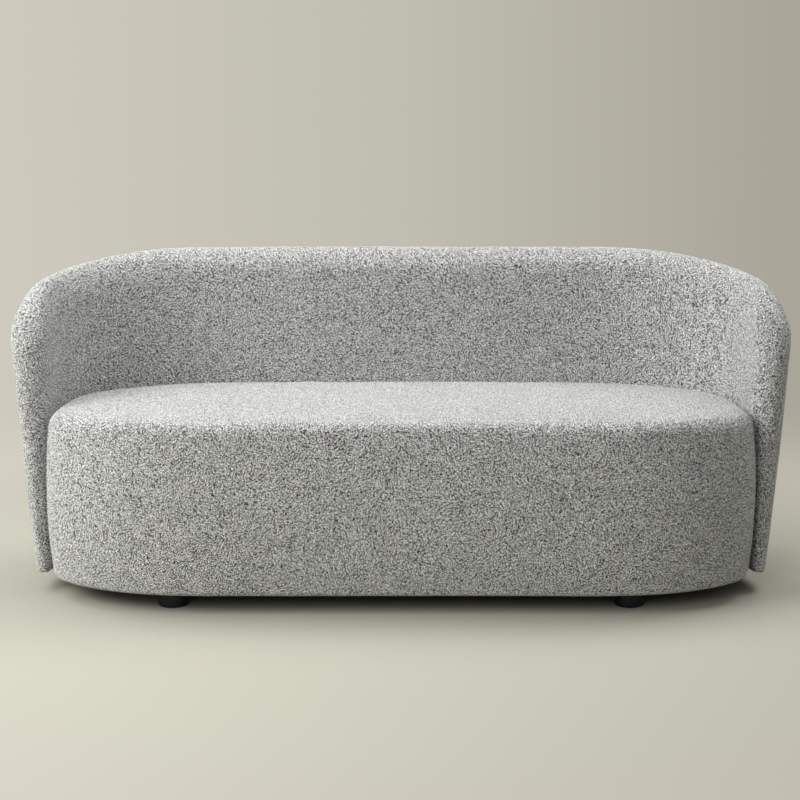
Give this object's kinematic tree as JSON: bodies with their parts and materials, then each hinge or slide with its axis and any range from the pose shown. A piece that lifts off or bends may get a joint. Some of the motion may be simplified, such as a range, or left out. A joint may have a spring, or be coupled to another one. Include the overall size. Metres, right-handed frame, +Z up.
{
  "type": "curved sofa",
  "caption": "Compact curved sofa: an oval upholstered seat drum on short round feet, wrapped by a separate rounded back and arm shell in heather grey boucle.",
  "frame": {"origin": "middle of the footprint, on the floor under the feet", "axes": "+Z up, +X to the right as seen from the front, -Y out of the front"},
  "size_m": [1.8076, 0.7854, 0.766],
  "materials": {
    "boucle_fabric": "heather grey looped boucle, matt",
    "upholstery_foam": "open-cell upholstery foam",
    "plywood": "bent and sawn birch plywood, unfinished",
    "hardboard": "thin bent hardboard",
    "felt_pad": "needled felt",
    "dust_cloth": "black non-woven dust cloth",
    "black_plastic": "black satin moulded plastic",
    "steel": "zinc plated steel and drawn spring wire"
  },
  "bodies": {
    "root": {"base_bottom_board": "plywood", "base_dust_cover": "dust_cloth", "base_plinth_hoop": "plywood", "base_stud_1": "plywood", "base_stud_2": "plywood", "base_stud_3": "plywood", "base_stud_4": "plywood", "base_stud_5": "plywood", "base_stud_6": "plywood", "base_top_rim": "plywood", "base_wall_card": "hardboard", "base_wall_foam": "upholstery_foam", "foot_front_left": "black_plastic", "foot_front_right": "black_plastic", "foot_rear_left": "black_plastic", "foot_rear_right": "black_plastic", "foot_screw_front_left": "steel", "foot_screw_front_right": "steel", "foot_screw_rear_left": "steel", "foot_screw_rear_right": "steel", "inner_arm_cover_left": "boucle_fabric", "inner_arm_cover_right": "boucle_fabric", "inner_back_cover": "boucle_fabric", "joint_bolt_1": "steel", "joint_bolt_2": "steel", "joint_bolt_3": "steel", "joint_bolt_4": "steel", "outer_shell_cover": "boucle_fabric", "seat_foam": "upholstery_foam", "seat_side_cover": "boucle_fabric", "seat_top_cover": "boucle_fabric", "shell_bottom_hoop": "plywood", "shell_crest_hoop": "plywood", "shell_foam": "upholstery_foam", "shell_inner_board": "hardboard", "shell_lower_stud_1": "plywood", "shell_lower_stud_2": "plywood", "shell_lower_stud_3": "plywood", "shell_lower_stud_4": "plywood", "shell_lower_stud_5": "plywood", "shell_seat_hoop": "plywood", "shell_under_strip": "dust_cloth", "shell_upper_stud_1": "plywood", "shell_upper_stud_2": "plywood", "shell_upper_stud_3": "plywood", "shell_upper_stud_4": "plywood", "shell_upper_stud_5": "plywood", "spring_felt": "felt_pad", "spring_rail_front": "steel", "spring_rail_rear": "steel", "tee_nut_front_left": "steel", "tee_nut_front_right": "steel", "tee_nut_rear_left": "steel", "tee_nut_rear_right": "steel", "zigzag_spring_1": "steel", "zigzag_spring_2": "steel", "zigzag_spring_3": "steel", "zigzag_spring_4": "steel", "zigzag_spring_5": "steel", "zigzag_spring_6": "steel"}
  },
  "joints": []
}
